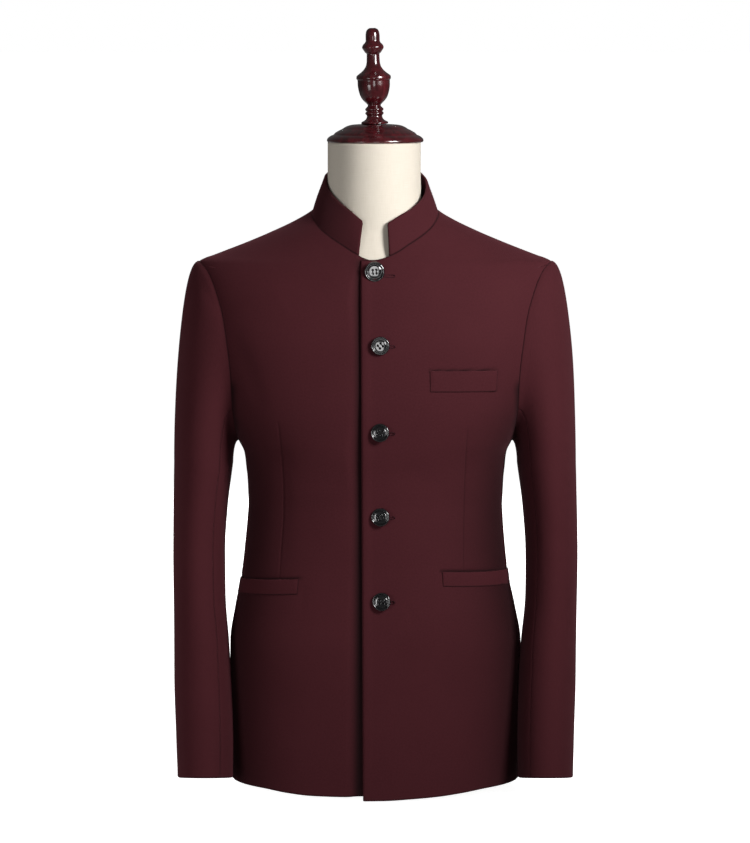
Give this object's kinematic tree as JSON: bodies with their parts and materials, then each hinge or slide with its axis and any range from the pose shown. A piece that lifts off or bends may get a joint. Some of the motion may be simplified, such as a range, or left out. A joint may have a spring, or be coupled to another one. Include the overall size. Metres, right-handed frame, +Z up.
{
  "type": "zhongshan jacket on a dress form",
  "caption": "Fitted jacket with a standing band collar, buttoned front, welt pockets and long sleeves, worn by a limbless dress form with a turned wooden neck cap.",
  "frame": {"origin": "middle of the flat underside of the form's base", "axes": "+Z up, -Y the way the jacket faces, +X the wearer's left"},
  "size_m": [0.4932, 0.2499, 0.9275],
  "materials": {
    "suit_cloth": "matt dark burgundy suiting",
    "button_resin": "gloss black resin",
    "form_linen": "natural cream linen",
    "dark_wood": "gloss dark mahogany"
  },
  "bodies": {
    "root": {"front_left": "suit_cloth", "front_right": "suit_cloth", "side_left": "suit_cloth", "side_right": "suit_cloth", "back_left": "suit_cloth", "back_right": "suit_cloth", "top_sleeve_left": "suit_cloth", "top_sleeve_right": "suit_cloth", "under_sleeve_left": "suit_cloth", "under_sleeve_right": "suit_cloth", "collar": "suit_cloth", "breast_welt": "suit_cloth", "hip_welt_left": "suit_cloth", "hip_welt_right": "suit_cloth", "button_1": "button_resin", "button_2": "button_resin", "button_3": "button_resin", "button_4": "button_resin", "button_5": "button_resin", "form_body": "form_linen", "form_base": "dark_wood", "neck_cap": "dark_wood", "neck_finial": "dark_wood"}
  },
  "joints": []
}
